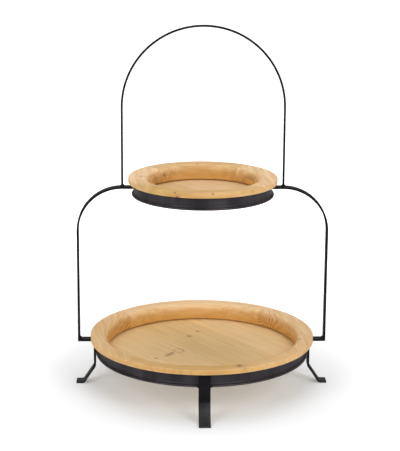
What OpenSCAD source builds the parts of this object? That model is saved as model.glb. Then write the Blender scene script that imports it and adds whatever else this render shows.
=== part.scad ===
/* [Trays] */
// Outer radius of the lower tray's rim
lower_r = 152.4; // [150:0.1:153]
// Height of the lower rim's top face above the ground
lower_top = 71; // [66:0.5:76]
// Radius of the lower tray's inner wall
lower_wall_r = 129.5; // [127:0.5:131]
// Depth of the lower tray from rim top to underside
lower_depth = 26.1; // [24:0.1:26.2]
// Outer radius of the upper tray's rim
upper_r = 100; // [97:0.5:101]
// Height of the upper rim's top face above the ground
upper_top = 290.4; // [285:0.1:300]
// Radius of the upper tray's inner wall
upper_wall_r = 74; // [70:0.5:77]
// Depth of the upper tray from rim top to underside
upper_depth = 24.4; // [22:0.1:24.5]
// Thickness of the rims' flanges
rim_t = 7.4; // [6.5:0.1:8]
// Radius on the rims' outer edges
rim_edge_r = 1.6; // [1:0.1:3]
// Radius that rolls each rim over into its inner wall
roll_r = 8; // [5:0.5:9]
// Width of one floor plank
plank_w = 42.8; // [40:0.1:46]

/* [Rings] */
// Outer radius of the lower ring's band
lower_band_r = 141.5; // [141:0.1:142]
// Outer radius of the upper ring's band
upper_band_r = 91.6; // [91:0.1:92]
// Thickness of the bands
band_t = 2; // [1.5:0.1:2]
// How far the lips stand out from the bands
lip_out = 3.9; // [3:0.1:4.5]
// Height of the lips
lip_h = 3; // [2:0.1:4]
// Height of the lower ring
lower_ring_h = 18.6; // [17:0.1:20]
// Height of the upper ring
upper_ring_h = 16.8; // [15:0.1:17]

/* [Frame] */
// Thickness of the flat straps
strap_t = 2.8; // [2:0.1:3]
// Width of the uprights and brackets
upright_w = 13; // [10:0.5:16]
// Distance from the centre to the uprights' outer faces
upright_x = 169.6; // [169:0.1:175]
// Radius of the uprights' shoulder bend, at mid-thickness
shoulder_r = 60; // [50:1:60]
// Width of the legs
leg_w = 15.5; // [12:0.5:18]
// Height of the legs' knee
knee_z = 25; // [20:1:30]
// Distance from the centre to the legs' heels
heel_r = 162.5; // [160:0.5:166]
// Distance from the centre to the tips of the feet
foot_r = 172.5; // [170:0.5:180]
// Diameter of the handle's rod
rod_d = 3; // [2.5:0.1:4]
// Radius of the handle's arch, at mid-rod
arch_r = 108; // [106:0.5:110]
// Height of the arch's centre above the ground
arch_z = 383.5; // [360:0.5:410]

/* [Hidden] */

$fn = 180;
lift_gap = 0.3;          // air between a tray's rim and the ring that it rests on
tray_play = 1;           // radial play of a tray inside its band
rabbet_w = 4.5;          // how far a floor panel is let in under its wall
shadow_gap = 0.8;        // gap between a floor panel and the wall above it
wall_chamfer = 0.9;      // chamfer on the wall's lower edge
panel_t = 3.2;           // thickness of the floor panels
lip_fillet_r = 1.8;      // hollow between a band and its lip
bend_r = 5;              // mid-thickness radius of the legs' bends
bend_step = 3;           // degrees of a bend to each step of its outline
leg_drop = 0.2;          // how far the legs and brackets stay below the lower band's top
shoulder_drop = 13.3;    // how far the uprights' shoulders are below the upper rim's top
corner_weld_r = 2.7;     // weld in the corner between bracket and upright
leg_weld_r = 2.4;        // weld between a leg's side and the lip
bead_r = 1.5;            // weld bead along the straps' ends
bead_inset = 0.5;        // how far a bead stops short of the strap's edges
handle_weld_h = 2.4;     // height of the weld round each foot of the handle
handle_weld_lip = 0.4;   // thickness of that weld at its top
rim_joint_a = 50;        // direction of the first glued joint in the rims
plank_a = 35.5;          // direction square to the planks, from +X
lower_seam = 22.8;       // distance of one lower floor seam from the centre
lower_plank_n = 7;
upper_plank_n = 4;

lower_band_top = lower_top - rim_t - lift_gap;
upper_band_top = upper_top - rim_t - lift_gap;
lower_ring_z = lower_band_top - lower_ring_h;
upper_ring_z = upper_band_top - upper_ring_h;
lower_spigot_r = lower_band_r - band_t - tray_play;
upper_spigot_r = upper_band_r - band_t - tray_play;
leg_inner_r = lower_band_r + lip_out;
leg_outer_r = leg_inner_r + strap_t;
leg_top = lower_band_top - leg_drop;
shoulder_top = upper_top - shoulder_drop;

WOOD = "burlywood";
FLOOR_WOOD = "tan";
STEEL = [0.2, 0.19, 0.2];

// ---- wooden trays ----

// Corner left over between a square and the quarter circle inside it
module corner_waste(r) {
    difference() {
        translate([-1, 0]) square([r + 1, r + 1]);
        translate([r, 0]) circle(r);
    }
}

// Outer end of a rim's flange, with both of its edges rounded
module rim_nose(outer_r) {
    for (z = [-rim_edge_r, rim_edge_r - rim_t])
        translate([outer_r - rim_edge_r, z]) circle(rim_edge_r);
    translate([outer_r - rim_edge_r, rim_edge_r - rim_t]) square([rim_edge_r, rim_t - 2 * rim_edge_r]);
}

// Section of a tray's rim: radius across, height up, rim top at zero
module rim_section(outer_r, wall_r, spigot_r, depth) {
    rabbet_top = panel_t + shadow_gap - depth;
    difference() {
        union() {
            translate([wall_r, -rim_t]) square([outer_r - rim_edge_r - wall_r, rim_t]);
            translate([wall_r, -depth]) square([spigot_r - wall_r, depth]);
            rim_nose(outer_r);
        }
        translate([wall_r, -roll_r]) corner_waste(roll_r);
        translate([wall_r - 1, -depth - 1]) square([rabbet_w + 1, rabbet_top + depth + 1]);
        translate([wall_r, rabbet_top]) rotate(45)
            square(wall_chamfer * sqrt(2), center = true);
    }
}

// One of a rim's four glued segments
module rim_segment(i, top, outer_r, wall_r, spigot_r, depth)
    color(WOOD)
        translate([0, 0, top])
            rotate(rim_joint_a + 90 * i)
                rotate_extrude(angle = 90) rim_section(outer_r, wall_r, spigot_r, depth);

module lower_rim_segment(i)
    rim_segment(i, lower_top, lower_r, lower_wall_r, lower_spigot_r, lower_depth);

module upper_rim_segment(i)
    rim_segment(i, upper_top, upper_r, upper_wall_r, upper_spigot_r, upper_depth);

// A strip of a round floor panel, between two of its straight seams
module plank(from, to, z, panel_r)
    color(FLOOR_WOOD)
        translate([0, 0, z])
            rotate(plank_a)
                intersection() {
                    cylinder(r = panel_r, h = panel_t);
                    translate([from, -panel_r - 1, -1]) cube([to - from, 2 * panel_r + 2, panel_t + 2]);
                }

module lower_floor_plank(i) {
    first_seam = lower_seam - 3 * plank_w;
    plank(i == 0 ? -lower_r : first_seam + (i - 1) * plank_w,
          i == lower_plank_n - 1 ? lower_r : first_seam + i * plank_w,
          lower_top - lower_depth, lower_wall_r + rabbet_w);
}

module upper_floor_plank(i)
    plank(i == 0 ? -upper_r : (i - 2) * plank_w,
          i == upper_plank_n - 1 ? upper_r : (i - 1) * plank_w,
          upper_top - upper_depth, upper_wall_r + rabbet_w);

// ---- steel rings ----

// One strip of a vertical band, from the given direction on, with a hollow fillet above its lip
module ring_band(start, turn, outer_r, bottom, height)
    color(STEEL)
        translate([0, 0, bottom])
            rotate(start) rotate_extrude(angle = turn) {
                translate([outer_r - band_t, 0]) square([band_t, height]);
                translate([outer_r, lip_h]) hollow_corner(lip_fillet_r);
            }

// The lower band is four strips, with a joint behind each leg
module lower_ring_band(i)
    ring_band(90 * i, 90, lower_band_r, lower_ring_z, lower_ring_h);

// The upper band is two strips, with a joint behind each upright
module upper_ring_band(i)
    ring_band(180 * i, 180, upper_band_r, upper_ring_z, upper_ring_h);

// Flat ring round the foot of a band, with a rounded outer edge
module ring_lip(outer_r, bottom)
    color(STEEL)
        translate([0, 0, bottom])
            rotate_extrude() {
                translate([outer_r, 0]) square([lip_out - lip_h / 2, lip_h]);
                translate([outer_r + lip_out - lip_h / 2, lip_h / 2]) circle(d = lip_h);
            }

// ---- bent straps ----

function heading(a, b) = atan2(b[1] - a[1], b[0] - a[0]);
function left_of(a) = [-sin(a), cos(a)];
function is_corner(p, i) = i > 0 && i < len(p) - 1;
function reversed(v) = [for (i = [len(v) - 1 : -1 : 0]) v[i]];

// Points round corner i of the line p, bent to radius r, on the edge that lies off to its left
function bend_points(p, i, r, off) =
    let (before = heading(p[i - 1], p[i]),
         turn = heading(p[i], p[i + 1]) - before,
         start = p[i] - r * tan(abs(turn) / 2) * [cos(before), sin(before)],
         centre = start + sign(turn) * r * left_of(before),
         steps = ceil(abs(turn) / bend_step))
    [for (k = [0 : steps]) centre + (off - sign(turn) * r) * left_of(before + turn * k / steps)];

// One edge of a strap that follows the line p
function strap_edge(p, r, off) = [
    for (i = [0 : len(p) - 1])
        if (is_corner(p, i)) each bend_points(p, i, r, off)
        else p[i] + off * left_of(heading(p[max(i - 1, 0)], p[max(i, 1)]))
];

// Flat strap along the corner points [x, z], with its corners bent to radius r
module bent_strap(p, width, r)
    rotate([90, 0, 0])
        linear_extrude(width, center = true)
            polygon(concat(strap_edge(p, r, strap_t / 2), reversed(strap_edge(p, r, -strap_t / 2))));

// One leg: down past the ring, out from the knee, and flat on the ground at the foot
module leg(angle) {
    mid_r = leg_inner_r + strap_t / 2;
    foot_z = strap_t / 2;
    corners = [[mid_r, leg_top], [mid_r, knee_z], [heel_r, foot_z], [foot_r, foot_z]];
    color(STEEL)
        rotate(angle) bent_strap(corners, leg_w, bend_r);
}

// One upright: out from the upper ring, over the shoulder and down to the bracket
module upright(angle) {
    mid_x = upright_x - strap_t / 2;
    mid_z = shoulder_top - strap_t / 2;
    corners = [[upper_band_r, mid_z], [mid_x, mid_z], [mid_x, leg_top - strap_t]];
    color(STEEL)
        rotate(angle) bent_strap(corners, upright_w, shoulder_r);
}

// One bracket: from a side leg out to the foot of the upright
module bracket(angle)
    color(STEEL)
        rotate(angle)
            translate([leg_outer_r, -upright_w / 2, leg_top - strap_t])
                cube([upright_x - strap_t - leg_outer_r, upright_w, strap_t]);

// Round rod: two posts and the half-circle arch between them
module handle_rod()
    color(STEEL) {
        for (side = [-1, 1])
            translate([side * arch_r, 0, shoulder_top]) cylinder(d = rod_d, h = arch_z - shoulder_top);
        translate([0, 0, arch_z])
            rotate([90, 0, 0])
                rotate_extrude(angle = 180) translate([arch_r, 0]) circle(d = rod_d);
    }

// ---- welds ----

// Corner at the origin, filled towards +X and +Y with a hollow face
module hollow_corner(r)
    difference() {
        square(r);
        translate([r, r]) circle(r);
    }

// Hollow weld of length l along Y, filling the corner at the origin towards +X and +Z
module corner_weld(r, l)
    rotate([90, 0, 0])
        linear_extrude(l, center = true) hollow_corner(r);

// Welds up both sides of each leg, against the lip
module leg_welds()
    color(STEEL)
        for (a = [0 : 90 : 270], side = [0, 1])
            rotate(a)
                mirror([0, side, 0])
                    translate([0, 0, lower_ring_z])
                        linear_extrude(lip_h)
                            translate([sqrt(leg_inner_r ^ 2 - (leg_w / 2) ^ 2), leg_w / 2])
                                hollow_corner(leg_weld_r);

// Welds in the inner corners of the brackets, and along their ends at the legs
module bracket_welds()
    color(STEEL)
        for (a = [0, 180])
            rotate(a) {
                translate([upright_x - strap_t, 0, leg_top])
                    mirror([1, 0, 0]) corner_weld(corner_weld_r, upright_w - 2 * bead_inset);
                translate([leg_outer_r, 0, leg_top - strap_t])
                    mirror([0, 0, 1]) corner_weld(bead_r, upright_w - 2 * bead_inset);
            }

// Welds above and below the uprights' ends, against the upper ring's band
module shoulder_welds()
    color(STEEL)
        for (a = [0, 180])
            rotate(a)
                for (top = [0, 1])
                    translate([upper_band_r, 0, shoulder_top - (1 - top) * strap_t])
                        mirror([0, 0, 1 - top]) corner_weld(bead_r, upright_w - 2 * bead_inset);

// Cone of weld round each foot of the handle
module handle_welds()
    color(STEEL)
        for (side = [-1, 1])
            translate([side * arch_r, 0, shoulder_top])
                difference() {
                    cylinder(r1 = rod_d / 2 + bead_r, r2 = rod_d / 2 + handle_weld_lip, h = handle_weld_h);
                    translate([0, 0, -1]) cylinder(d = rod_d, h = handle_weld_h + 2);
                }

lower_rim_segment(0);  // lower_rim_segment_1
lower_rim_segment(1);  // lower_rim_segment_2
lower_rim_segment(2);  // lower_rim_segment_3
lower_rim_segment(3);  // lower_rim_segment_4
lower_floor_plank(0);  // lower_floor_plank_1
lower_floor_plank(1);  // lower_floor_plank_2
lower_floor_plank(2);  // lower_floor_plank_3
lower_floor_plank(3);  // lower_floor_plank_4
lower_floor_plank(4);  // lower_floor_plank_5
lower_floor_plank(5);  // lower_floor_plank_6
lower_floor_plank(6);  // lower_floor_plank_7
upper_rim_segment(0);  // upper_rim_segment_1
upper_rim_segment(1);  // upper_rim_segment_2
upper_rim_segment(2);  // upper_rim_segment_3
upper_rim_segment(3);  // upper_rim_segment_4
upper_floor_plank(0);  // upper_floor_plank_1
upper_floor_plank(1);  // upper_floor_plank_2
upper_floor_plank(2);  // upper_floor_plank_3
upper_floor_plank(3);  // upper_floor_plank_4
lower_ring_band(0);  // lower_ring_band_1
lower_ring_band(1);  // lower_ring_band_2
lower_ring_band(2);  // lower_ring_band_3
lower_ring_band(3);  // lower_ring_band_4
ring_lip(lower_band_r, lower_ring_z);  // lower_ring_lip
upper_ring_band(0);  // upper_ring_band_back
upper_ring_band(1);  // upper_ring_band_front
ring_lip(upper_band_r, upper_ring_z);  // upper_ring_lip
leg(270);  // leg_front
leg(0);  // leg_right
leg(90);  // leg_back
leg(180);  // leg_left
upright(0);  // upright_right
upright(180);  // upright_left
bracket(0);  // bracket_right
bracket(180);  // bracket_left
handle_rod();
leg_welds();
bracket_welds();
shoulder_welds();
handle_welds();
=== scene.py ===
import math

import bmesh
import bpy
from mathutils import Matrix, Vector, noise


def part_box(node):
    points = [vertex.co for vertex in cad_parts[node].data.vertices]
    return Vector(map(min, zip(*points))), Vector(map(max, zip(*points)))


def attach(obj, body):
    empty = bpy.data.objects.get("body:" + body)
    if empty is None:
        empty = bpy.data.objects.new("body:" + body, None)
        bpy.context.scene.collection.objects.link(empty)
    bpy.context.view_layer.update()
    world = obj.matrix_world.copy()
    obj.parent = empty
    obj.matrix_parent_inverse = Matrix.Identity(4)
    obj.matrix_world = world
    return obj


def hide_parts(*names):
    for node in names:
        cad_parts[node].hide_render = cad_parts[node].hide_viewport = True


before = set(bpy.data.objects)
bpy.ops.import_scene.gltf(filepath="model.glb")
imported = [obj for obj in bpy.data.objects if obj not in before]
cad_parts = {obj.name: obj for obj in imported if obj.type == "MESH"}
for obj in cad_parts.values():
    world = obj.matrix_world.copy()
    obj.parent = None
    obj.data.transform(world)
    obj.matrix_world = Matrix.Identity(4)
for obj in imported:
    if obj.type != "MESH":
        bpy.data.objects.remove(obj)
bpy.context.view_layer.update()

MM = 0.001
TIERS = ("lower", "upper")

# How far apart two sizes of a CAD node may be and still count as the same, how far a point may be from a
# surface and still lie on it, and how far past one it is clearly beyond it
SAME = 0.05 * MM
ON_SURFACE = 0.02 * MM
BEYOND = 1 * MM

# Corners of boards and straps that are sharper than this are rounded, and faces flatter than this merged
SHARP_CORNER = math.radians(50)
FLAT_CORNER = math.radians(0.5)

# Wood: the direction the floor planks are laid across, the grooves at glued joints, the rounding of the
# planks' edges, the step of a rim's mesh and the steps of a plank's ends
PLANK_TURN = math.radians(35.5)
JOINT_GROOVE = 0.12 * MM
JOINT_HALF_WIDTH = 0.2 * MM
PLANK_EASE = 0.2 * MM
RIM_STEP = 1.6 * MM
PLANK_STEPS = 40

# Turned surfaces: noise scale in waves a metre, and how far it moves the surface
SIDE_WAVE, SIDE_DEPTH = 18, 0.1 * MM
WALL_WAVE, WALL_DEPTH = 22, 0.15 * MM
TOP_WAVE, TOP_DEPTH = 15, 0.12 * MM
TEAR_WAVE, TEAR_DEPTH = 420, 0.9 * MM

# The torn patches' noise scale and contrast, and how much of the wall's rounded edge is torn
TEAR_PATCHES, TEAR_CONTRAST = 26, 1.6
TEAR_EDGE = 0.6

# Painted shade: how dark it is on a rim's outer side, and how much of a board's own tone it hides at its
# darkest
SIDE_PAINTED_SHADE = 0.4
PAINTED_SHADE_HIDES = 0.7

# The seam distance of wood that is nowhere near the painted highlight along a seam, in millimetres
NO_SEAM = 99.0

# Steel: the corners' rounding on straps and bands, how uneven the rolled bands are, the scale of their
# unevenness round the ring and up it, how near to each other two vertices are merged, and mesh steps
STRAP_EASE = 0.45 * MM
BAND_EASE = 0.5 * MM
BAND_WAVE = 0.12 * MM
BAND_ROUND, BAND_UP = 2.2, 30
RING_STEPS = 240
DOUBLES = 0.002 * MM
ROD_SIDES = 16
ROD_FOOT_STEPS = 10
ROD_ARCH_STEPS = 72

# Weld beads: their sizes, how far their roots are sunk in the steel, how far from a strap's sides they
# stop, how far they are sunk in the ring, and the points and steps they are made of
LEG_BEAD = 2.5 * MM
BRACKET_BEAD = 2.7 * MM
STRAP_BEAD = 1.5 * MM
BEAD_SINK = 0.3 * MM
BEAD_INSET = 0.7 * MM
BEAD_OVERLAP = 0.1 * MM
BEAD_POINTS = 7
BEAD_STEPS = 20
LEG_BEAD_STEPS = 12
LEG_BEAD_DROP = 0.2 * MM
LEG_BEAD_EXTRA = 0.6 * MM
HANDLE_BEAD_STEPS = 24

# Heights between which the legs' paler coat low down fades out, and its colour: dust, and painted light
# where the slanted feet face the lamps
DUST_AND_LIGHT_LOW = 18 * MM
DUST_AND_LIGHT_HIGH = 27 * MM
DUST_AND_PAINTED_LIGHT = (0.12, 0.12, 0.118, 1)

# Camera: a long lens at the height and distance of the photographed view, moved a little to the left
CAMERA_DISTANCE = 1.955
CAMERA_ASIDE = 0.0035
CAMERA_RISE = 0.6506
CAMERA_PITCH = math.radians(14.32)
CAMERA_ROLL = math.radians(0.4)
CAMERA_TURN = math.radians(1.5)
CAMERA_LENS = 119.4

# Table: where it starts and finishes fading to white, how bright it glows, its edges and its colours
TABLE_NEAR = 0.16
TABLE_FAR = 0.6
TABLE_GLOW = 0.22
TABLE_FRONT = -0.75
TABLE_BACK = 10
TABLE_SIDE = 8
TABLE_COLOUR = (0.77, 0.785, 0.805, 1)
TABLE_GLOW_COLOUR = (1.0, 0.985, 0.99, 1)

# White paper that only the camera sees, all round the table and a little below it
SURROUND_R = 12.0
SURROUND_DROP = 0.5 * MM
SURROUND_SIDES = 48

# Soft lights: name, place, width, and brightness of their faces; all of them face one point
SOFTBOXES = (("light_left", (-1.7, -2.1, 1.85), 1.3, 4.6),
             ("light_right", (1.6, -2.2, 1.85), 1.3, 6.1),
             ("light_above", (0, 0.5, 3.4), 3.4, 1.65))
LIGHT_AIM = Vector((0, 0, 0.15))
ROOM_LIGHT = 0.3


# ---- reading sizes from the frame ----

def corners(node, low=-math.inf, high=math.inf):
    """The vertices of a CAD node between two heights."""
    return [v.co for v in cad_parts[node].data.vertices if low <= v.co.z <= high]


def radii(node, low=-math.inf, high=math.inf):
    """Smallest and largest distance from the Z axis of a CAD node's vertices between two heights."""
    found = [math.hypot(p.x, p.y) for p in corners(node, low, high)]
    return min(found), max(found)


def spin(node):
    """First and last direction, seen from above, of a CAD node that is a sector of a ring."""
    points = corners(node)
    middle = math.atan2(sum(p.y for p in points), sum(p.x for p in points))
    back = Matrix.Rotation(-middle, 3, "Z")
    turned = [back @ p for p in points]
    off = [math.atan2(p.y, p.x) for p in turned]
    return middle + min(off), middle + max(off)


def clamped(value, low=0.0, high=1.0):
    """A number kept between two others."""
    return max(low, min(high, value))


class Tray:
    """One tray's sizes, read from its CAD nodes."""

    def __init__(self, tier):
        first = f"{tier}_rim_segment_1"
        low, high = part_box(first)
        self.tier = tier
        self.body = f"{tier}_tray"
        self.segments = sorted(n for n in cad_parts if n.startswith(f"{tier}_rim_segment"))
        self.planks = sorted(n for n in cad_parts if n.startswith(f"{tier}_floor_plank"))
        self.top, self.bottom = high.z, low.z
        self.wall_r, self.outer_r = radii(first)
        self.rabbet_r, self.spigot_r = radii(first, low.z - SAME, low.z + SAME)
        flat_in, flat_out = radii(first, high.z - SAME, high.z + SAME)
        self.roll = flat_in - self.wall_r
        self.edge = self.outer_r - flat_out
        self.flange_z = min(p.z for p in corners(first)
                            if math.hypot(p.x, p.y) > self.spigot_r + BEYOND)
        self.rabbet_z = max(p.z for p in corners(first)
                            if abs(math.hypot(p.x, p.y) - self.rabbet_r) < SAME)
        self.chamfer = radii(first, self.rabbet_z - SAME, self.rabbet_z + SAME)[0] - self.wall_r

    def over_wall(self, p):
        """How far in a point is: 0 where the wall's rounded edge starts and 1 at the wall's face."""
        return (self.wall_r + self.roll - math.hypot(p.x, p.y)) / self.roll

    def depth(self, p):
        """How much shade is painted at a point of the rim, from 0 on the flat top to 1 at the wall's foot.

        It is -1 underneath, where the wood is raw.
        """
        r = math.hypot(p.x, p.y)
        if p.z < self.bottom + ON_SURFACE:
            return -1.0
        if p.z < self.flange_z + ON_SURFACE and r > self.spigot_r - ON_SURFACE:
            return -1.0
        # Painted shade: some on the outer side, more down the wall towards its foot
        if r > self.outer_r - 1.5 * self.edge:
            return SIDE_PAINTED_SHADE if p.z < self.top - self.edge / 2 else 0.0
        if r > self.wall_r + self.roll:
            return 0.0
        return min(1.0, (self.top - p.z) / (2 * self.roll))


# ---- mesh helpers ----

def new_object(name, verts, faces):
    """A smooth mesh object at the origin, in the frame's own coordinates."""
    mesh = bpy.data.meshes.new(name)
    mesh.from_pydata([tuple(v) for v in verts], [], faces)
    mesh.validate()
    obj = bpy.data.objects.new(name, mesh)
    bpy.context.scene.collection.objects.link(obj)
    fix_normals(mesh)
    mesh.shade_smooth()
    return obj


def fix_normals(mesh):
    """Turns every face outwards."""
    bm = bmesh.new()
    bm.from_mesh(mesh)
    bmesh.ops.recalc_face_normals(bm, faces=bm.faces)
    bm.to_mesh(mesh)
    bm.free()


def smooth_by_angle(obj, degrees=35):
    """Smooth shading, with the edges sharper than the angle kept crisp."""
    obj.data.shade_smooth()
    obj.data.set_sharp_from_angle(angle=math.radians(degrees))


def arc(centre_r, centre_z, radius, start, end, steps):
    """Points of a profile's rounded stretch, as (radius, height), for angles in degrees."""
    angles = [math.radians(start + (end - start) * i / steps) for i in range(steps + 1)]
    return [(centre_r + radius * math.cos(a), centre_z + radius * math.sin(a)) for a in angles]


def straight(a, b, steps):
    """Points between two profile points, without the ends."""
    return [(a[0] + (b[0] - a[0]) * i / steps, a[1] + (b[1] - a[1]) * i / steps)
            for i in range(1, steps)]


def sweep(rings, closed_path, name):
    """Skins a list of equal closed rings of points, with flat ends unless the path closes on itself."""
    count = len(rings[0])
    verts = [p for ring in rings for p in ring]
    spans = len(rings) if closed_path else len(rings) - 1
    faces = []
    for i in range(spans):
        here, there = i * count, (i + 1) % len(rings) * count
        for k in range(count):
            k2 = (k + 1) % count
            faces.append((here + k, here + k2, there + k2, there + k))
    if not closed_path:
        faces.append(tuple(range(count)))
        faces.append(tuple(range((len(rings) - 1) * count, len(rings) * count)))
    return new_object(name, verts, faces)


def around(profile, angle, shape=None):
    """A profile of (radius, height) stood at an angle round the Z axis."""
    ring = []
    for r, z in profile:
        p = Vector((r * math.cos(angle), r * math.sin(angle), z))
        ring.append(shape(p, angle) if shape else p)
    return ring


def shrink(profile, by):
    """A profile moved in from its own surface, for the groove at a glued joint."""
    moved = []
    for i, (r, z) in enumerate(profile):
        before, after = profile[i - 1], profile[(i + 1) % len(profile)]
        along = Vector((after[0] - before[0], after[1] - before[1]))
        inward = Vector((-along.y, along.x)).normalized() * by
        moved.append((r + inward.x, z + inward.y))
    return moved


def write_attribute(obj, name, values, kind):
    """Stores one number or vector a vertex, for the materials to read."""
    attribute = obj.data.attributes.new(name, kind, "POINT")
    for item, value in zip(attribute.data, values):
        if kind == "FLOAT_VECTOR":
            item.vector = value
        else:
            item.value = value


def board_marks(obj, turn, start, tone, figure, rough=0.0, seam=NO_SEAM, hollow=0.0):
    """Gives a piece of wood what its material reads at each vertex.

    board: place in the tree, in millimetres along, across and up, from the start and the turn
    tone, figure: how pale the board is, and how strongly its rings show
    rough: how torn the grain is; seam: millimetres from a seam with a painted highlight
    hollow: how much shade is painted on the rim, or -1 where the wood is raw
    Each but the board is a number, or a function of the point.
    """
    back = Matrix.Rotation(-turn, 3, "Z")
    points = [v.co for v in obj.data.vertices]
    write_attribute(obj, "board", [(back @ p) / MM + Vector(start) for p in points], "FLOAT_VECTOR")
    marks = {"tone": tone, "figure": figure, "rough": rough, "seam": seam, "hollow": hollow}
    for name, mark in marks.items():
        write_attribute(obj, name, [mark(p) if callable(mark) else mark for p in points], "FLOAT")


def settle(obj, body, nodes, material):
    """Gives a finished piece its material and its body, and hides the CAD nodes it stands for."""
    obj.data.materials.clear()
    obj.data.materials.append(material)
    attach(obj, body)
    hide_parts(*nodes)


# ---- materials ----

# Noise in the wood, in waves a millimetre along the grain and across it both ways
BEND_GRAIN = (0.006, 0.03, 0.03)
WANDER_GRAIN = (0.02, 0.12, 0.12)
RAGGED_GRAIN = (0.2, 0.45, 0.45)
FIBRE_GRAIN = (0.03, 1.3, 1.3)
STREAK_GRAIN = (0.012, 0.16, 0.16)
FLECK_GRAIN = (0.09, 3.6, 3.6)
CLOUD_GRAIN = (0.01, 0.035, 0.035)
BLOTCH_GRAIN = (0.06, 0.12, 0.12)
GLINT_GRAIN = (0.5, 0.9, 0.9)
TORN_GRAIN = (0.35, 1.1, 1.1)
ACROSS = (0, 1, 1)

# Growth rings: millimetres they bend, wander and swell, knot radii a swelling reaches, and how the
# latewood comes and goes within a ring
BEND_SIZE = 26.0
WANDER_SIZE = 2.2
SWELL_SIZE = 9.0
SWELL_REACH = 7.0
LATEWOOD = ((0.0, 0), (0.4, 0.1), (0.76, 0.75), (0.88, 1), (0.96, 0.12), (1.0, 0))

# Knots: how ragged their edges are, how they fade outwards, and their colours
KNOT_RAGGED = 0.9
KNOT_FADE = ((0.0, 1), (0.4, 0.85), (0.7, 0.35), (1.0, 0))
KNOT_WARM = (0.36, 0.18, 0.07, 1)
KNOT_DARK = (0.19, 0.09, 0.034, 1)
RING_KNOT_DARK = (0.24, 0.12, 0.05, 1)

# The lacquer's roughness and specular level, and the tint of the shade painted on the rims' walls and outer
# sides
LACQUER_ROUGH = 0.45
LACQUER_SHINE = 0.35
PAINTED_SHADE_TINT = (0.9, 0.75, 0.45, 1)

# The tint of the raw, sanded wood underneath, which is paler and greyer
UNDERSIDE = (0.78, 0.9, 1.18, 1)

# The tint of the darkest and of the palest board
DARK_BOARD = (0.82, 0.74, 0.5, 1)
PALE_BOARD = (1.15, 1.19, 1.38, 1)


class Nodes:
    """Shorthand for a material's node tree."""

    def __init__(self, name):
        self.material = bpy.data.materials.new(name)
        self.material.use_nodes = True
        self.tree = self.material.node_tree
        self.tree.nodes.clear()
        self.shader = self.add("BsdfPrincipled")
        output = self.add("OutputMaterial")
        self.tree.links.new(self.shader.outputs[0], output.inputs[0])

    def add(self, kind, inputs=None, **settings):
        node = self.tree.nodes.new("ShaderNode" + kind)
        for key, value in settings.items():
            setattr(node, key, value)
        for key, value in (inputs or {}).items():
            self.set(node, key, value)
        return node

    def set(self, node, key, value):
        if isinstance(value, bpy.types.NodeSocket):
            self.tree.links.new(value, node.inputs[key])
        else:
            node.inputs[key].default_value = value

    def math(self, operation, a, b=0.0, clamp=False):
        return self.add("Math", {0: a, 1: b}, operation=operation, use_clamp=clamp).outputs[0]

    def vector(self, operation, a, b=(0, 0, 0)):
        return self.add("VectorMath", {0: a, 1: b}, operation=operation).outputs[0]

    def length(self, a):
        return self.add("VectorMath", {0: a}, operation="LENGTH").outputs["Value"]

    def scaled(self, vector, by):
        return self.vector("MULTIPLY", vector, by)

    def noise(self, vector, detail=2.0, roughness=0.5, scale=1.0):
        values = {"Vector": vector, "Scale": scale, "Detail": detail, "Roughness": roughness}
        return self.add("TexNoise", values).outputs["Fac"]

    def grain(self, board, stretch, detail, roughness=0.5):
        """Noise whose waves a millimetre differ along and across the grain."""
        return self.noise(self.scaled(board, stretch), detail, roughness)

    def spread(self, value, low, high, to_low=0.0, to_high=1.0):
        """A value's range low to high, mapped to another and clamped there."""
        return self.add("MapRange", {0: value, 1: low, 2: high, 3: to_low, 4: to_high}).outputs[0]

    def mix(self, factor, a, b, blend="MIX"):
        node = self.add("Mix", data_type="RGBA", blend_type=blend)
        for key, value in ((0, factor), (6, a), (7, b)):
            self.set(node, key, value)
        return node.outputs[2]

    def ramp(self, factor, stops):
        """A grey that follows a list of (place, brightness)."""
        node = self.add("ValToRGB", {0: factor})
        points = node.color_ramp.elements
        while len(points) < len(stops):
            points.new(0.5)
        for point, (place, brightness) in zip(points, stops):
            point.position = place
            point.color = (brightness, brightness, brightness, 1)
        return node.outputs[0]

    def grey(self, value):
        """A number as a grey colour, for mixing."""
        return self.add("CombineColor", {0: value, 1: value, 2: value}).outputs[0]

    def bump(self, height, strength, distance):
        node = self.add("Bump", {"Height": height, "Strength": strength, "Distance": distance})
        self.set(self.shader, "Normal", node.outputs[0])


def knot_field(n, knots, ragged):
    """Distance from the nearest knot in knot radii, made ragged, or None if there are none."""
    place = n.add("TexCoord").outputs["Object"]
    nearest = None
    for x, y, z, size in knots:
        centred = n.vector("SUBTRACT", place, (x * MM, y * MM, z * MM))
        distance = n.length(n.scaled(centred, (1 / (size * MM),) * 3))
        nearest = distance if nearest is None else n.math("MINIMUM", nearest, distance)
    if nearest is None:
        return None
    return n.math("ADD", nearest, n.math("MULTIPLY", n.math("SUBTRACT", ragged, 0.5), KNOT_RAGGED))


def growth_rings(n, board, near, ring):
    """How much latewood there is: rings round the tree's middle that bend, wander and swell round knots."""
    slow = n.grain(board, BEND_GRAIN, 2)
    wander = n.grain(board, WANDER_GRAIN, 3)
    rings = n.math("ADD", n.length(n.scaled(board, ACROSS)), n.math("MULTIPLY", slow, BEND_SIZE))
    rings = n.math("ADD", rings, n.math("MULTIPLY", wander, WANDER_SIZE))
    if near:
        swell = n.math("POWER", n.spread(near, 0.0, SWELL_REACH, 1.0, 0.0), 3.0)
        rings = n.math("ADD", rings, n.math("MULTIPLY", swell, SWELL_SIZE))
    return n.ramp(n.math("FRACT", n.math("DIVIDE", rings, ring)), LATEWOOD)


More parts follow.
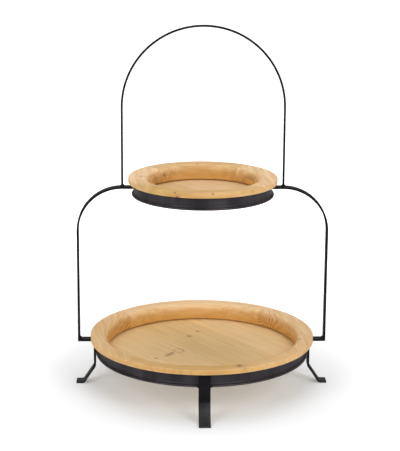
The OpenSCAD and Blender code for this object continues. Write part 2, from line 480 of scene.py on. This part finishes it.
def tinted(n, colour, hollow, tone):
    """The wood's colour with painted shade on the rims' walls and sides, or raw, and as pale as its board
    is.
    """
    # Painted shade, then the raw underside's tint
    colour = n.mix(n.math("MULTIPLY", hollow, 1.0, clamp=True), colour,
                   n.mix(1.0, colour, PAINTED_SHADE_TINT, "MULTIPLY"))
    colour = n.mix(n.math("MULTIPLY", hollow, -1.0, clamp=True), colour,
                   n.mix(1.0, colour, UNDERSIDE, "MULTIPLY"))
    board_tint = n.mix(n.spread(tone, -1.5, 1.5), DARK_BOARD, PALE_BOARD)
    return n.mix(1.0, colour, board_tint, "MULTIPLY")


def shaded(n, colour, board, fibre, flecks, seam, rough):
    """The wood's colour with its fibre, flecks, painted highlight along a seam, torn patches and painted
    glints on the torn grain.
    """
    # A painted highlight along one plank's seam, where the cupped plank catches the light
    light = n.math("ADD", n.spread(fibre, 0.25, 0.75, 0.94, 1.05),
                   n.spread(n.math("ABSOLUTE", seam), 1.5, 6.5, 0.2, 0.0))
    light = n.math("SUBTRACT", light, n.math("MULTIPLY", flecks, 0.2))
    blotch = n.spread(n.grain(board, BLOTCH_GRAIN, 3, 0.6), 0.42, 0.62, 0.0, 0.3)
    light = n.math("SUBTRACT", light, n.math("MULTIPLY", rough, blotch))
    # Painted glints: pale specks where the torn grain would catch the light
    painted_glints = n.spread(n.grain(board, GLINT_GRAIN, 2, 0.6), 0.56, 0.66, 0.0, 0.3)
    light = n.math("ADD", light, n.math("MULTIPLY", rough, painted_glints))
    return n.mix(1.0, colour, n.grey(light), "MULTIPLY")


def knotted(n, colour, near, ring_near, ragged):
    """The wood's colour with its knots: warm wood round a dark one, and only a dark edge to a ring knot."""
    if near:
        colour = n.mix(n.spread(near, 0.8, 2.4, 0.3, 0.0), colour, KNOT_WARM)
        halo = n.ramp(near, KNOT_FADE)
        colour = n.mix(n.math("MULTIPLY", halo, 0.9), colour, KNOT_DARK)
    if ring_near:
        off = n.math("ABSOLUTE", n.math("SUBTRACT", ring_near, 0.9))
        faint = n.math("MULTIPLY", n.spread(off, 0.05, 0.28, 0.8, 0.0),
                       n.spread(ragged, 0.4, 0.6, 1.0, 0.25))
        colour = n.mix(faint, colour, RING_KNOT_DARK)
    return colour


def pine(name, early, late, deep, knots, ring_knots, ring, contrast):
    """Clear-lacquered pine, different in each board, from one row of WOODS."""
    n = Nodes(name)
    board = n.add("Attribute", attribute_name="board").outputs["Vector"]
    tone, figure, rough, seam, hollow = (n.add("Attribute", attribute_name=key).outputs["Fac"]
                                         for key in ("tone", "figure", "rough", "seam", "hollow"))
    ragged = n.grain(board, RAGGED_GRAIN, 2)
    near = knot_field(n, knots, ragged)
    ring_near = knot_field(n, ring_knots, ragged)
    latewood = growth_rings(n, board, near, ring)
    fibre = n.grain(board, FIBRE_GRAIN, 4, 0.6)
    streak = n.grain(board, STREAK_GRAIN, 3, 0.55)
    flecks = n.spread(n.grain(board, FLECK_GRAIN, 1, 0.4), 0.66, 0.74)
    cloud = n.grain(board, CLOUD_GRAIN, 2)
    strength = n.spread(cloud, 0.3, 0.7, contrast * 0.45, contrast)
    strength = n.math("MULTIPLY", n.math("MULTIPLY", latewood, strength), figure, clamp=True)
    colour = n.mix(n.spread(streak, 0.36, 0.66, 0.0, 0.8), (*early, 1), (*deep, 1))
    colour = n.mix(strength, colour, (*late, 1))
    colour = tinted(n, colour, hollow, tone)
    colour = shaded(n, colour, board, fibre, flecks, seam, rough)
    n.set(n.shader, "Base Color", knotted(n, colour, near, ring_near, ragged))
    finish = n.spread(fibre, 0.2, 0.8, LACQUER_ROUGH - 0.06, LACQUER_ROUGH + 0.1)
    n.set(n.shader, "Roughness", n.math("ADD", finish, n.math("MULTIPLY", rough, 0.2)))
    n.shader.inputs["Specular IOR Level"].default_value = LACQUER_SHINE
    height = n.math("ADD", n.math("MULTIPLY", latewood, 0.25), n.math("MULTIPLY", fibre, 0.6))
    height = n.math("SUBTRACT", height, n.math("MULTIPLY", flecks, 0.5))
    torn = n.grain(board, TORN_GRAIN, 3, 0.6)
    height = n.math("ADD", height, n.math("MULTIPLY", n.math("MULTIPLY", torn, rough), 6.0))
    n.bump(height, 0.6, 0.12 * MM)
    return n.material


def powder_coat(name, colour, roughness, shine, dust_and_light=0.0, painted_highlight_streaks=False):
    """Satin black powder coat on steel: fine orange peel and a patchy sheen.

    shine: the specular level; the next, how much paler the coat is near the table: dust, and painted light
    on the legs' slanted feet the last, whether the patches are drawn out upwards and stronger: painted
    upright highlights on the rings' bands, over an uneven coat
    """
    n = Nodes(name)
    place = n.add("TexCoord").outputs["Object"]
    # Patchy coat; on the rings the patches are drawn out upwards and made brighter, as painted upright
    # highlights
    patch = n.noise(n.scaled(place, (30, 30, 4 if painted_highlight_streaks else 45)), 3, 0.55)
    peel = n.noise(place, 2, 0.5, 1400)
    grit = n.spread(n.noise(place, 1, 0.5, 2600), 0.66, 0.74)
    patchy = n.spread(patch, 0.35, 0.65, 0.6, 1.6 if painted_highlight_streaks else 1.2)
    shade = n.math("ADD", patchy, n.math("MULTIPLY", grit, 0.3))
    height = n.add("SeparateXYZ", {0: place}).outputs["Z"]
    # Paler low down: dust, and painted light on the legs' slanted feet, which face the lamps
    base = n.mix(n.spread(height, DUST_AND_LIGHT_LOW, DUST_AND_LIGHT_HIGH, dust_and_light, 0.0), (*colour, 1), DUST_AND_PAINTED_LIGHT)
    n.set(n.shader, "Base Color", n.mix(1.0, base, n.grey(shade), "MULTIPLY"))
    n.set(n.shader, "Roughness", n.spread(patch, 0.3, 0.7, roughness - 0.05, roughness + 0.09))
    n.shader.inputs["Specular IOR Level"].default_value = shine
    n.bump(n.math("ADD", peel, n.math("MULTIPLY", grit, 0.6)), 0.35, 0.05 * MM)
    return n.material


# ---- trays ----

# Knots that show, as place and radius in millimetres; of a ring knot only the edge is dark
LOWER_FLOOR_KNOTS = ((-16, 52, 48, 3.2), (-4, 73, 48, 2.4), (-41, -20, 48, 3.0), (-44, -25, 48, 3.6),
                     (-48, -31, 48, 2.6), (-62, -42, 48, 2.0))
LOWER_FLOOR_RING_KNOTS = ((-32, -10, 48, 7.5),)
LOWER_RIM_KNOTS = ((45, -136, 71, 4.2), (132, -28, 71, 1.9), (137, -4, 71, 1.3), (127, -36, 71, 1.2),
                   (52, -146, 70, 3.2))
UPPER_RIM_KNOTS = ((-35.5, -93.5, 283.4, 3.6), (-38, -92, 289.5, 1.4), (10, -99.5, 289.5, 1.4),
                   (-83, 0, 290, 2.0), (-6, 83, 290, 2.0), (47, 64, 284, 2.6), (-52, 52, 281, 2.2))

# Each wood: the colours of its earlywood, latewood and darker streaks, its knots and ring knots, the
# millimetres from one growth ring to the next, and how strongly rings show at most
WOODS = {
    "lower_rim": ((0.86, 0.597, 0.30), (0.50, 0.25, 0.085), (0.73, 0.44, 0.18),
                  LOWER_RIM_KNOTS, (), 3.4, 0.6),
    "lower_floor": ((0.86, 0.625, 0.325), (0.56, 0.36, 0.155), (0.77, 0.54, 0.255),
                    LOWER_FLOOR_KNOTS, LOWER_FLOOR_RING_KNOTS, 8.5, 0.2),
    "upper_rim": ((0.86, 0.60, 0.315), (0.56, 0.30, 0.11), (0.70, 0.42, 0.17),
                  UPPER_RIM_KNOTS, (), 3.0, 0.6),
    "upper_floor": ((0.76, 0.54, 0.295), (0.60, 0.39, 0.18), (0.70, 0.475, 0.24),
                    (), (), 5.0, 0.3),
}

# Where each rim segment was cut, from the back one round to the right one: millimetres along,
# across and up from the tree's middle, how pale it is at its start, middle and end, and how
# strongly its rings show
LOWER_RIM_BOARDS = ((40, -205, -62, (1.3, 1.5, 1.3), 0.25), (260, -95, 34, (0.6, 0.4, -0.5), 0.55),
                    (-330, -230, -40, (-0.6, -1.2, 0.6), 0.6), (610, -60, -60, (0.5, 0.8, 1.3), 0.6))
UPPER_RIM_BOARDS = ((140, -215, -50, (-0.3, -0.5, 0.1), 0.35), (370, -105, 44, (1.4, 1.5, -1.5), 0.4),
                    (-230, -240, -44, (-1.5, -0.7, -0.2), 0.5), (710, -70, -66, (0.7, 1.2, 1.1), 0.4))

# Which lower segments have wild grain, and at which of their ends; how much it adds to the rings'
# strength, how far round it reaches in radians, and how soon it is at its strongest down the wall
WILD_END = {1: 0, 3: 1}
WILD_FIGURE = 2.2
WILD_REACH = 0.45
WILD_WALL = 1.3

# Where each floor plank was cut, how pale it is and how strongly its rings show; the upper floor
# starts further on in the list
PLANK_BOARDS = ((0, 9, -38, 0.3, 0.8), (300, -24, -30, 0.2, 1.0), (-260, 14, -46, 0.1, 0.9),
                (540, -6, -28, -0.4, 1.0), (-500, 31, -35, -0.2, 0.8), (820, -15, -52, 0.5, 0.8),
                (-750, 20, -30, 0.15, 1.0))
UPPER_FIRST_PLANK = 3
# The plank with a painted highlight along one seam
HIGHLIT_SEAM_PLANK = 4


def rim_profile(tray):
    """The section of a tray's rim, round from the foot of the spigot, as (radius, height)."""
    edge, roll = tray.edge, tray.roll
    side_r = tray.outer_r - edge
    points = [(tray.spigot_r, tray.bottom), (tray.spigot_r, tray.flange_z)]
    points += straight((tray.spigot_r, tray.flange_z), (side_r, tray.flange_z), 4)
    points += arc(side_r, tray.flange_z + edge, edge, -90, 0, 7)
    points += arc(side_r, tray.top - edge, edge, 0, 90, 7)
    inner = (tray.wall_r + roll, tray.top)
    points += straight((side_r, tray.top), inner, 8)
    points += arc(inner[0], tray.top - roll, roll, 90, 180, 12)
    foot = (tray.wall_r, tray.rabbet_z + tray.chamfer)
    points += straight((tray.wall_r, tray.top - roll), foot, 7)
    points += [foot, (tray.wall_r + tray.chamfer, tray.rabbet_z)]
    points += [(tray.rabbet_r, tray.rabbet_z), (tray.rabbet_r, tray.bottom)]
    return points


def hand_worked(tray):
    """How far a turned rim's surface strays from true, as a shaping function for its sweep."""
    rough = torn_grain(tray)

    def shape(p, angle):
        r = math.hypot(p.x, p.y)
        out = Vector((math.cos(angle), math.sin(angle), 0))
        if p.z <= tray.flange_z + BEYOND:
            return p
        if r >= tray.outer_r - 2 * tray.edge:
            return p - out * abs(noise.noise(p * SIDE_WAVE)) * SIDE_DEPTH
        p = p + out * abs(noise.noise(p * WALL_WAVE)) * WALL_DEPTH
        p.z -= abs(noise.noise(p * TOP_WAVE + Vector((3, 0, 0)))) * TOP_DEPTH
        if tray.tier == "upper" and r < tray.wall_r + tray.roll * TEAR_EDGE:
            pit = rough(p) * max(0.0, noise.noise(p * TEAR_WAVE))
            p = p + out * pit * TEAR_DEPTH
        return p

    return shape


def torn_grain(tray):
    """How rough the grain is, at a point or everywhere: only the upper tray's wall was torn by the tool."""
    if tray.tier == "lower":
        return 0.0

    def rough(p):
        patches = clamped(0.5 + TEAR_CONTRAST * noise.noise(p * TEAR_PATCHES))
        return clamped(tray.over_wall(p)) * patches

    return rough


def wild_grain(tray, end, figure):
    """How strongly a segment's rings show at a point, when they show most on its wall near one end."""

    def strength(p):
        on_wall = clamped(WILD_WALL * tray.over_wall(p))
        off = abs((end - math.atan2(p.y, p.x) + math.pi) % (2 * math.pi) - math.pi)
        return figure + WILD_FIGURE * on_wall * max(0.0, 1 - off / WILD_REACH)

    return strength


def rim_segment(tray, index, material):
    """One glued segment of a rim, eased a little at both of its joints."""
    node = tray.segments[index]
    first, last = spin(node)
    profile = rim_profile(tray)
    ease = JOINT_HALF_WIDTH / tray.outer_r
    steps = round((last - first) * tray.outer_r / RIM_STEP)
    angles = [first + ease + (last - first - 2 * ease) * i / steps for i in range(steps + 1)]
    shape = hand_worked(tray)
    rings = [around(shrink(profile, JOINT_GROOVE), first, shape)]
    rings += [around(profile, a, shape) for a in angles]
    rings += [around(shrink(profile, JOINT_GROOVE), last, shape)]
    obj = sweep(rings, False, f"{tray.tier}_rim_board_{index + 1}")
    smooth_by_angle(obj, 50)
    boards = LOWER_RIM_BOARDS if tray.tier == "lower" else UPPER_RIM_BOARDS
    along, across, up, paleness, figure = boards[index]
    tangent = (first + last) / 2 + math.pi / 2
    if tray.tier == "lower" and index in WILD_END:
        figure = wild_grain(tray, (first, last)[WILD_END[index]], figure)
    start = (along, across + tray.outer_r / MM, up)

    def tone(p):
        turned = (math.atan2(p.y, p.x) - first + math.pi / 2) % (2 * math.pi) - math.pi / 2
        share = clamped(2 * turned / (last - first), 0.0, 2.0)
        whole = min(1, int(share))
        step = paleness[whole] + (paleness[whole + 1] - paleness[whole]) * (share - whole)
        # The board's own tone fades where shade is painted
        return step * (1 - PAINTED_SHADE_HIDES * max(0.0, tray.depth(p)))

    board_marks(obj, tangent, start, tone, figure, rough=torn_grain(tray), hollow=tray.depth)
    settle(obj, tray.body, [node], material)


def plank_outline(low, high, radius):
    """The outline of a strip of a disc, between two lines across it, counter-clockwise."""
    outline = []
    for side, a, b in ((1, high, low), (-1, low, high)):
        start = math.asin(clamped(a / radius, -1.0, 1.0))
        end = math.asin(clamped(b / radius, -1.0, 1.0))
        for i in range(PLANK_STEPS + 1):
            angle = start + (end - start) * i / PLANK_STEPS
            outline.append((radius * math.sin(angle), side * radius * math.cos(angle)))
    return [p for i, p in enumerate(outline) if math.dist(p, outline[i - 1]) > SAME]


def floor_plank(tray, index, material):
    """One plank of a tray's floor, with eased edges that leave a fine line at each seam."""
    node = tray.planks[index]
    low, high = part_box(node)
    turn = Matrix.Rotation(PLANK_TURN, 3, "Z")
    across = [(turn.transposed() @ p).x for p in corners(node)]
    outline = plank_outline(min(across), max(across), tray.rabbet_r)
    count = len(outline)
    verts = [turn @ Vector((x, y, z)) for z in (low.z, high.z) for x, y in outline]
    sides = [(i, (i + 1) % count, count + (i + 1) % count, count + i) for i in range(count)]
    faces = [tuple(reversed(range(count))), tuple(range(count, 2 * count))] + sides
    obj = new_object(f"{tray.tier}_floor_board_{index + 1}", verts, faces)
    ease_edges(obj, PLANK_EASE, 2)
    first = 0 if tray.tier == "lower" else UPPER_FIRST_PLANK
    along, aside, up, tone, figure = PLANK_BOARDS[(first + index) % len(PLANK_BOARDS)]
    middle = (min(across) + max(across)) / 2 / MM

    def from_seam(p):
        return ((turn.transposed() @ p).x - max(across)) / MM

    def raw_below(p):
        return -1.0 if p.z < high.z - BEYOND else 0.0

    # Only this plank gets the painted highlight along its seam
    seam_highlight = from_seam if index == HIGHLIT_SEAM_PLANK else NO_SEAM
    start = (along, aside + middle, up)
    board_marks(obj, PLANK_TURN + math.pi / 2, start, tone, figure, seam=seam_highlight, hollow=raw_below)
    settle(obj, tray.body, [node], material)


def ease_edges(obj, width, segments):
    """Rounds every sharp edge of a piece."""
    bm = bmesh.new()
    bm.from_mesh(obj.data)
    bm.normal_update()
    sharp = [e for e in bm.edges if len(e.link_faces) == 2 and e.calc_face_angle(0) > SHARP_CORNER]
    bmesh.ops.bevel(bm, geom=sharp, offset=width, segments=segments, profile=0.5,
                    affect="EDGES", clamp_overlap=True)
    bm.to_mesh(obj.data)
    bm.free()
    smooth_by_angle(obj)


def trays():
    """Both trays, board by board."""
    for tier in TIERS:
        tray = Tray(tier)
        rim = pine(f"{tier}_rim_pine", *WOODS[f"{tier}_rim"])
        floor = pine(f"{tier}_floor_pine", *WOODS[f"{tier}_floor"])
        for i in range(len(tray.segments)):
            rim_segment(tray, i, rim)
        for i in range(len(tray.planks)):
            floor_plank(tray, i, floor)


# ---- frame ----

X, Y, Z = Vector((1, 0, 0)), Vector((0, 1, 0)), Vector((0, 0, 1))
STRAPS = ("leg_front", "leg_right", "leg_back", "leg_left", "upright_", "bracket_l", "bracket_r")


def ring_parts(tier, steel):
    """A ring's band and lip, rolled from strips that aren't quite true."""
    strips = sorted(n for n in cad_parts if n.startswith(f"{tier}_ring_band_"))
    band, lip = strips[0], f"{tier}_ring_lip"
    low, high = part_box(band)
    inner_r, outer_r = radii(band, high.z - SAME, high.z + SAME)
    lip_r = radii(lip)[1]
    lip_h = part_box(lip)[1].z - low.z
    hollow = radii(band, low.z + lip_h - SAME, low.z + lip_h + SAME)[1] - outer_r
    profile = [(inner_r, low.z), (outer_r, low.z), (outer_r, low.z + lip_h)]
    profile += [(outer_r + hollow, low.z + lip_h)]
    profile += arc(outer_r + hollow, low.z + lip_h + hollow, hollow, -90, -180, 6)[1:]
    profile += straight((outer_r, low.z + lip_h + hollow), (outer_r, high.z - BAND_EASE), 6)
    profile += arc(outer_r - BAND_EASE, high.z - BAND_EASE, BAND_EASE, 0, 90, 3)
    profile += [(inner_r, high.z)]

    def rolled(p, angle):
        if math.hypot(p.x, p.y) < outer_r - BAND_EASE:
            return p
        out = Vector((math.cos(angle), math.sin(angle), 0))
        dip = abs(noise.noise(Vector((out.x * BAND_ROUND, out.y * BAND_ROUND, p.z * BAND_UP))))
        return p - out * dip * BAND_WAVE

    turns = [2 * math.pi * i / RING_STEPS for i in range(RING_STEPS)]
    obj = sweep([around(profile, a, rolled) for a in turns], True, f"{tier}_band")
    smooth_by_angle(obj)
    settle(obj, "frame", strips, steel)
    round_r = lip_h / 2
    profile = [(outer_r, low.z)] + arc(lip_r - round_r, low.z + round_r, round_r, -90, 90, 10)
    profile += [(outer_r, low.z + lip_h)]
    obj = sweep([around(profile, a) for a in turns], True, f"{tier}_lip")
    smooth_by_angle(obj)
    settle(obj, "frame", [lip], steel)


def eased_copy(node, name, steel):
    """A strap as the CAD has it, with its corners rounded as bar stock's are."""
    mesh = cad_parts[node].data.copy()
    obj = bpy.data.objects.new(name, mesh)
    bpy.context.scene.collection.objects.link(obj)
    bm = bmesh.new()
    bm.from_mesh(mesh)
    bmesh.ops.remove_doubles(bm, verts=bm.verts, dist=DOUBLES)
    bmesh.ops.dissolve_limit(bm, angle_limit=FLAT_CORNER, verts=bm.verts, edges=bm.edges)
    bm.to_mesh(mesh)
    bm.free()
    ease_edges(obj, STRAP_EASE, 3)
    settle(obj, "frame", [node], steel)


def handle(steel):
    """The handle's rod, swept round its arch."""
    low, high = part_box("handle_rod")
    radius = (high.y - low.y) / 2
    arch_r = high.x - radius
    arch_z = high.z - high.x
    foot_z = low.z
    path = [Vector((arch_r, 0, foot_z + (arch_z - foot_z) * i / ROD_FOOT_STEPS))
            for i in range(ROD_FOOT_STEPS)]
    path += [Vector((arch_r * math.cos(a), 0, arch_z + arch_r * math.sin(a)))
             for a in (math.pi * i / ROD_ARCH_STEPS for i in range(ROD_ARCH_STEPS + 1))]
    path += [Vector((-p.x, 0, p.z)) for p in reversed(path[:ROD_FOOT_STEPS])]
    rings = []
    for i, p in enumerate(path):
        ahead = path[min(i + 1, len(path) - 1)] - path[max(i - 1, 0)]
        side = Y.cross(ahead.normalized())
        rings.append([p + radius * (math.cos(t) * side + math.sin(t) * Y)
                      for t in (2 * math.pi * k / ROD_SIDES for k in range(ROD_SIDES))])
    obj = sweep(rings, False, "handle")
    smooth_by_angle(obj)
    settle(obj, "frame", ["handle_rod"], steel)


def bead_rings(path, size, seed):
    """Rings of a weld bead that runs along a path of (point, direction a, direction b) in a corner."""
    rings = []
    for i, (point, a, b) in enumerate(path):
        t = i / (len(path) - 1)
        ripple = 1 + 0.13 * math.sin(i * 1.9 + seed) + 0.15 * noise.noise(point * 900)
        reach = size * ripple * (0.35 + 0.65 * math.sin(math.pi * t) ** 0.5)
        ring = [point - (a + b) * BEAD_SINK]
        for k in range(BEAD_POINTS):
            turn = math.radians(90 * k / (BEAD_POINTS - 1))
            fullness = 0.78 + 0.22 * abs(math.cos(2 * turn))
            ring.append(point + (a * math.cos(turn) + b * math.sin(turn)) * reach * fullness)
        rings.append(ring)
    return rings


def line(start, end, a, b, steps=BEAD_STEPS):
    """A straight path for a bead."""
    return [(start.lerp(end, i / steps), a, b) for i in range(steps + 1)]


def join(name, parts):
    """Joins pieces into one object."""
    verts, faces = [], []
    for part in parts:
        shift = len(verts)
        verts += [v.co.copy() for v in part.data.vertices]
        faces += [tuple(i + shift for i in p.vertices) for p in part.data.polygons]
        bpy.data.objects.remove(part)
    return new_object(name, verts, faces)


def turned(path, angle):
    """A bead's path turned round the Z axis."""
    spin_by = Matrix.Rotation(angle, 3, "Z")
    return [(spin_by @ p, spin_by @ a, spin_by @ b) for p, a, b in path]


def straight_bead(path, size, seed):
    """A bead along a straight path."""
    return sweep(bead_rings(path, size, seed), False, "bead")


def leg_welds(weld):
    """Upright beads where each leg meets the lower ring, one on each side of it."""
    leg_low, leg_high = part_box("leg_right")
    lip_low, lip_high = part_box("lower_ring_lip")
    tall = lip_high.z - lip_low.z + LEG_BEAD_EXTRA
    beads = []
    for k in range(4):
        for side in (-1, 1):
            base = Vector((leg_low.x - BEAD_OVERLAP, side * leg_high.y, lip_low.z - LEG_BEAD_DROP))
            path = line(base, base + Z * tall, X, Y * side, LEG_BEAD_STEPS)
            beads.append(straight_bead(turned(path, k * math.pi / 2), LEG_BEAD, k + side))
    finish_welds("leg_beads", beads, "leg_welds", weld)


def bracket_welds(weld):
    """A bead over and a bead under each bracket, across the strap."""
    leg_low, leg_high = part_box("leg_right")
    upright_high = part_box("upright_right")[1]
    strap_t = strap_thickness()
    half = upright_high.y - BEAD_INSET
    beads = []
    for angle in (0, math.pi):
        corner = Vector((upright_high.x - strap_t, -half, leg_high.z))
        path = line(corner, corner + Y * 2 * half, -X, Z)
        beads.append(straight_bead(turned(path, angle), BRACKET_BEAD, 1))
        corner = Vector((leg_low.x + strap_t, -half, leg_high.z - strap_t))
        path = line(corner, corner + Y * 2 * half, X, -Z)
        beads.append(straight_bead(turned(path, angle), STRAP_BEAD, 2))
    finish_welds("bracket_beads", beads, "bracket_welds", weld)


def shoulder_welds(weld):
    """A bead over and a bead under each shoulder, where it meets the upper ring."""
    low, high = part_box("upright_right")
    half = high.y - BEAD_INSET
    beads = []
    for angle in (0, math.pi):
        for top in (0, 1):
            corner = Vector((low.x - BEAD_OVERLAP, -half, high.z - (1 - top) * strap_thickness()))
            path = line(corner, corner + Y * 2 * half, X, Z * (2 * top - 1))
            beads.append(straight_bead(turned(path, angle), STRAP_BEAD, top))
    finish_welds("shoulder_beads", beads, "shoulder_welds", weld)


def handle_welds(weld):
    """A bead all round each foot of the handle."""
    low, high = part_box("handle_rod")
    rod_r = high.y
    beads = []
    for side in (-1, 1):
        foot = Vector((side * (high.x - rod_r), 0, low.z))
        path = []
        for i in range(HANDLE_BEAD_STEPS):
            out = Matrix.Rotation(2 * math.pi * i / HANDLE_BEAD_STEPS, 3, "Z") @ X
            path.append((foot + out * rod_r, out, Z))
        beads.append(sweep(ring_bead(path, side), True, "bead"))
    finish_welds("handle_beads", beads, "handle_welds", weld)


def strap_thickness():
    """How thick the straps are."""
    low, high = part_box("bracket_right")
    return high.z - low.z


def ring_bead(path, seed):
    """Rings of a bead that closes on itself, round the foot of the rod."""
    rings = []
    for i, (point, out, up) in enumerate(path):
        ripple = 1 + 0.12 * math.sin(i * 2.1 + seed) + 0.1 * noise.noise(point * 900)
        reach = STRAP_BEAD * ripple
        ring = [point - (out + up) * BEAD_SINK]
        for k in range(BEAD_POINTS):
            turn = math.radians(90 * k / (BEAD_POINTS - 1))
            ring.append(point + out * math.cos(turn) * reach + up * math.sin(turn) * reach * 1.5)
        rings.append(ring)
    return rings


def finish_welds(name, beads, node, weld):
    """Joins a group of beads and puts it in its CAD node's place."""
    obj = join(name, beads)
    smooth_by_angle(obj, 60)
    settle(obj, "frame", [node], weld)


def steel_frame():
    """The welded frame."""
    ring_coat = powder_coat("black_ring_coat", (0.03, 0.026, 0.032), 0.34, 0.45, painted_highlight_streaks=True)
    steel = powder_coat("black_bar_coat", (0.007, 0.006, 0.0078), 0.4, 0.2, dust_and_light=0.22)
    weld = powder_coat("black_weld_coat", (0.009, 0.0078, 0.0096), 0.4, 0.25)
    for tier in TIERS:
        ring_parts(tier, ring_coat)
    for node in sorted(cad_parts):
        if node.startswith(STRAPS):
            eased_copy(node, node + "_strap", steel)
    handle(steel)
    leg_welds(weld)
    bracket_welds(weld)
    shoulder_welds(weld)
    handle_welds(weld)


# ---- studio ----

def softbox(name, place, size, brightness):
    """A square soft light of an even brightness, facing the stand."""
    light = bpy.data.lights.new(name, "AREA")
    light.shape = "SQUARE"
    light.size = size
    light.energy = brightness * math.pi * size * size
    box = bpy.data.objects.new(name, light)
    box.location = place
    box.rotation_euler = (LIGHT_AIM - box.location).to_track_quat("-Z", "Y").to_euler()
    bpy.context.scene.collection.objects.link(box)


def one_sided(n):
    """Makes a stage material clear from behind, so that the stand's underside can be looked at."""
    output = next(node for node in n.tree.nodes if node.type == "OUTPUT_MATERIAL")
    clear = n.add("BsdfTransparent").outputs[0]
    behind = n.add("NewGeometry").outputs["Backfacing"]
    both = n.add("MixShader", {0: behind, 1: n.shader.outputs[0], 2: clear}).outputs[0]
    n.tree.links.new(both, output.inputs[0])


def floor_paint():
    """A pale table lit a little from below, that fades to plain white away from the stand."""
    n = Nodes("floor_paint")
    place = n.add("TexCoord").outputs["Object"]
    away = n.spread(n.length(place), TABLE_NEAR, TABLE_FAR)
    n.shader.inputs["Base Color"].default_value = TABLE_COLOUR
    n.shader.inputs["Roughness"].default_value = 0.8
    n.shader.inputs["Specular IOR Level"].default_value = 0.1
    n.shader.inputs["Emission Color"].default_value = TABLE_GLOW_COLOUR
    n.set(n.shader, "Emission Strength", n.spread(away, 0.0, 1.0, TABLE_GLOW, 1.0))
    one_sided(n)
    return n.material


def surround_paint():
    """Plain white paper."""
    n = Nodes("surround_paint")
    n.shader.inputs["Base Color"].default_value = (0.0, 0.0, 0.0, 1)
    n.shader.inputs["Specular IOR Level"].default_value = 0.0
    n.shader.inputs["Emission Color"].default_value = (1.0, 1.0, 1.0, 1)
    n.shader.inputs["Emission Strength"].default_value = 1.0
    one_sided(n)
    return n.material


def staged(name, verts, faces, paint):
    """A piece of the stage."""
    mesh = bpy.data.meshes.new(name)
    mesh.from_pydata(verts, [], faces)
    mesh.materials.append(paint)
    obj = bpy.data.objects.new(name, mesh)
    bpy.context.scene.collection.objects.link(obj)
    obj.visible_glossy = False
    return obj


def surround():
    """White paper round the table, which neither lights the stand nor shows in it."""
    count = SURROUND_SIDES
    turns = [2 * math.pi * i / count for i in range(count)]
    foot = [(SURROUND_R * math.cos(a), SURROUND_R * math.sin(a), -SURROUND_DROP) for a in turns]
    head = [(x, y, SURROUND_R) for x, y, z in foot]
    walls = [((i + 1) % count, i, count + i, count + (i + 1) % count) for i in range(count)]
    paper = staged("surround", foot + head, [tuple(range(count))] + walls, surround_paint())
    paper.visible_diffuse = False
    paper.visible_transmission = False
    paper.visible_shadow = False


def studio():
    """A plain pale table, a dim surround, and soft lights at both sides and above."""
    table = [(-TABLE_SIDE, TABLE_FRONT, 0), (TABLE_SIDE, TABLE_FRONT, 0),
             (TABLE_SIDE, TABLE_BACK, 0), (-TABLE_SIDE, TABLE_BACK, 0)]
    staged("table", table, [(0, 1, 2, 3)], floor_paint())
    surround()
    world = bpy.data.worlds.new("dim_room")
    world.use_nodes = True
    background = world.node_tree.nodes["Background"]
    background.inputs["Color"].default_value = (1, 1, 1, 1)
    background.inputs["Strength"].default_value = ROOM_LIGHT
    bpy.context.scene.world = world
    for light in SOFTBOXES:
        softbox(*light)
    bpy.context.scene.view_settings.view_transform = "Standard"


def camera():
    """The photographed view: a long lens, a little to the left of the stand's front."""
    data = bpy.data.cameras.new("camera")
    data.lens = CAMERA_LENS
    obj = bpy.data.objects.new("camera", data)
    lower_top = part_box("lower_rim_segment_1")[1].z
    obj.location = (-math.sin(CAMERA_TURN) * CAMERA_DISTANCE - CAMERA_ASIDE,
                    -math.cos(CAMERA_TURN) * CAMERA_DISTANCE, lower_top + CAMERA_RISE)
    level = Matrix.Rotation(-CAMERA_TURN, 3, "Z") @ Matrix.Rotation(math.pi / 2 - CAMERA_PITCH, 3, "X")
    obj.rotation_euler = (level @ Matrix.Rotation(CAMERA_ROLL, 3, "Z")).to_euler()
    bpy.context.scene.collection.objects.link(obj)
    bpy.context.scene.camera = obj


camera()
studio()
trays()
steel_frame()
